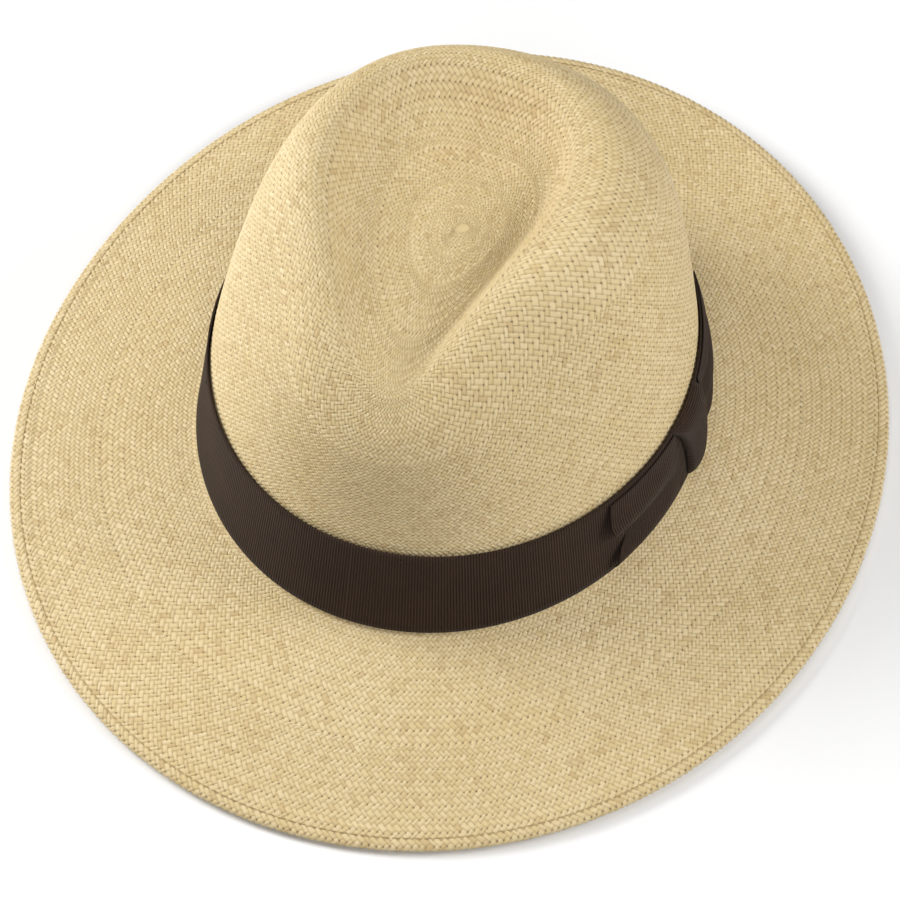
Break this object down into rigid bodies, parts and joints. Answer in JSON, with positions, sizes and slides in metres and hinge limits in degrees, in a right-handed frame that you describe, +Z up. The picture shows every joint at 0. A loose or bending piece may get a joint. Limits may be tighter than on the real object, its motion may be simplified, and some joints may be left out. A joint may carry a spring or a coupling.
{
  "type": "panama hat",
  "caption": "Woven straw panama hat with a teardrop crown, wide stitched brim, dark grosgrain ribbon with a flat side bow, and an inner sweatband; shades and covers a head.",
  "frame": {"origin": "centre of the hat's bounding box in plan, on the surface the brim stands on", "axes": "+Z up through the crown, wearer's front towards -Y, back towards +Y, wearer's left (the bow) towards +X"},
  "size_m": [0.3164, 0.3604, 0.1345],
  "materials": {
    "straw": "woven toquilla straw, soft satin",
    "straw_thread": "waxed thread",
    "ribbon": "ribbed grosgrain, matt",
    "dark_thread": "sewing thread",
    "band_leather": "smooth tan leather",
    "reed_plastic": "clear-cream extruded plastic",
    "tape": "narrow woven cotton tape",
    "tan_thread": "sewing thread",
    "paper": "plain card"
  },
  "bodies": {
    "hat": {"straw_body": "straw", "brim_hem_stitching": "straw_thread", "hat_ribbon": "ribbon", "ribbon_tacks": "dark_thread", "bow_knot": "ribbon", "sweatband": "band_leather", "sweatband_reed": "reed_plastic", "reed_tape": "tape", "sweatband_stitching": "tan_thread", "sweatband_bow": "ribbon", "size_tag": "paper"},
    "front_wing": {"bow_front_wing": "ribbon"},
    "rear_wing": {"bow_rear_wing": "ribbon"}
  },
  "joints": [
    {"name": "bow_front_wing_lift", "type": "hinge", "parent": "hat", "child": "front_wing", "pos_m": [0.0901, -0.01418, 0.0259], "axis": [-0.1373, 0.0139, 0.9904], "range_deg": [0, 20], "stiffness_Nm_per_rad": 0.002},
    {"name": "bow_rear_wing_lift", "type": "hinge", "parent": "hat", "child": "rear_wing", "pos_m": [0.08968, 0.0137, 0.0259], "axis": [0.1357, 0.0179, -0.9906], "range_deg": [0, 20], "stiffness_Nm_per_rad": 0.002}
  ]
}
